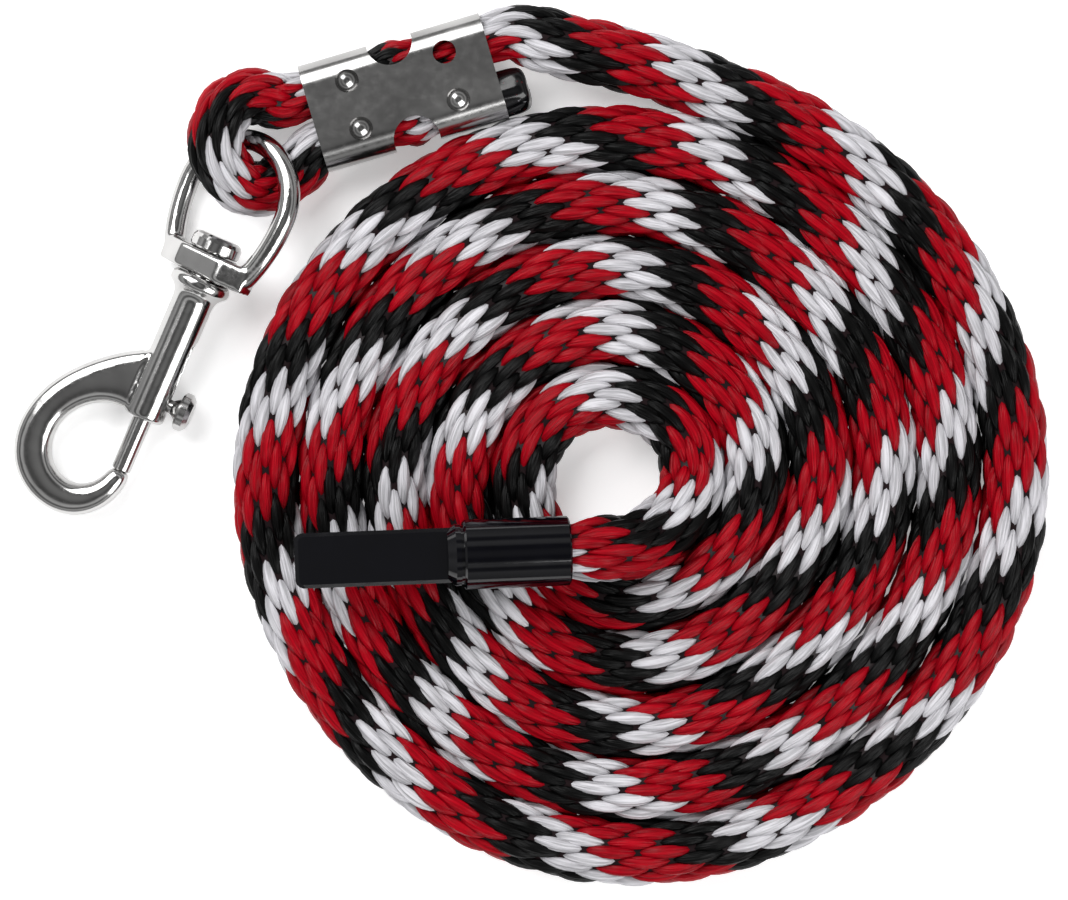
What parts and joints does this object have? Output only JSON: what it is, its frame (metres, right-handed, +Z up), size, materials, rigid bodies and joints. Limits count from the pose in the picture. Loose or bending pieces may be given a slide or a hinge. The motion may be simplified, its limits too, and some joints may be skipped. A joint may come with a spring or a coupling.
{
  "type": "lead rope",
  "caption": "Braided horse lead rope laid in a flat spiral coil, with a clamped eye carrying a swivel bolt snap at one end and a ferrule with a flat end tag at the other.",
  "frame": {"origin": "middle of the bounding box, on the surface that the rope lies on", "axes": "+Z up from that surface; +X from the snap's side of the coil to the far side; +Y towards the rope clamp and the eye"},
  "size_m": [0.2579, 0.2216, 0.0364],
  "materials": {
    "rope": "solid-braided soft yarn in deep red with white and black stitches, light sheen",
    "sealed_rope_end": "yarn ends melted to a glossy black cap",
    "clamp_metal": "polished dark nickel over pressed sheet steel",
    "snap_metal": "nickel-plated casting, satin to bright, softly rounded edges",
    "ring_metal": "nickel-plated casting, smooth and bright",
    "bolt_metal": "nickel-plated, rubbed bright by use",
    "spring_steel": "plain spring wire",
    "fitting_black": "gloss black lacquer, smooth"
  },
  "bodies": {
    "rope": {"rope_coil": "rope", "rope_lead": "rope", "rope_eye": "rope", "rope_inner_end": "rope", "rope_clamped_standing": "rope", "rope_clamped_tail": "rope", "rope_tail_end": "sealed_rope_end", "rope_end_plug": "rope", "rope_clamp": "clamp_metal", "end_fitting": "fitting_black"},
    "ring": {"swivel_ring": "ring_metal"},
    "snap": {"snap_body": "snap_metal", "swivel_pin": "snap_metal", "bolt_spring": "spring_steel"},
    "bolt": {"snap_bolt": "bolt_metal", "thumb_knob": "bolt_metal"}
  },
  "joints": [
    {"name": "ring_swing", "type": "hinge", "parent": "rope", "child": "ring", "pos_m": [-0.07288, 0.06043, 0.01031], "axis": [-0.4618, 0.1349, 0.8767], "range_deg": [-60, 0]},
    {"name": "snap_swivel", "type": "hinge", "parent": "ring", "child": "snap", "pos_m": [-0.0967, 0.0059, 0.00615], "axis": [0.3994, 0.9141, 0.0698], "continuous": true},
    {"name": "bolt_slide", "type": "slide", "parent": "snap", "child": "bolt", "axis": [0.3994, 0.9141, 0.0698], "range_m": [0, 0.0148], "stiffness_N_per_m": 200, "springref_m": -0.01, "deforming": ["bolt_spring"]}
  ]
}
